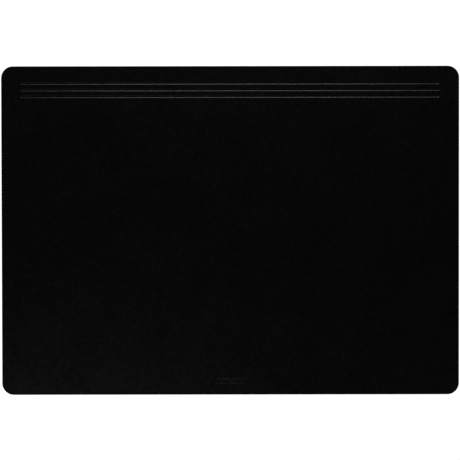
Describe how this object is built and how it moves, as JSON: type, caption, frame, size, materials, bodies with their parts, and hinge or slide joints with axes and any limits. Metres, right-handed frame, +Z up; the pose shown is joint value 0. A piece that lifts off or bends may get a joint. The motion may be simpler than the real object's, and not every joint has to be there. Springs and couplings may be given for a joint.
{
  "type": "desk mat",
  "caption": "Thin black laminated desk mat with rounded corners, straight shallow grooves along the back edge and a grippy underside.",
  "frame": {"origin": "on the desk surface, under the middle of the mat's outline", "axes": "+X to the right along the long side, +Y away from the user towards the grooved back edge, +Z up"},
  "size_m": [0.7, 0.503, 0.003],
  "materials": {
    "writing_sheet": "satin",
    "bond_film": "satin",
    "foam": "matte",
    "grip_rubber": "matte"
  },
  "bodies": {
    "root": {"top_sheet": "writing_sheet", "upper_bond_film": "bond_film", "foam_core": "foam", "lower_bond_film": "bond_film", "grip_backing": "grip_rubber"}
  },
  "joints": []
}
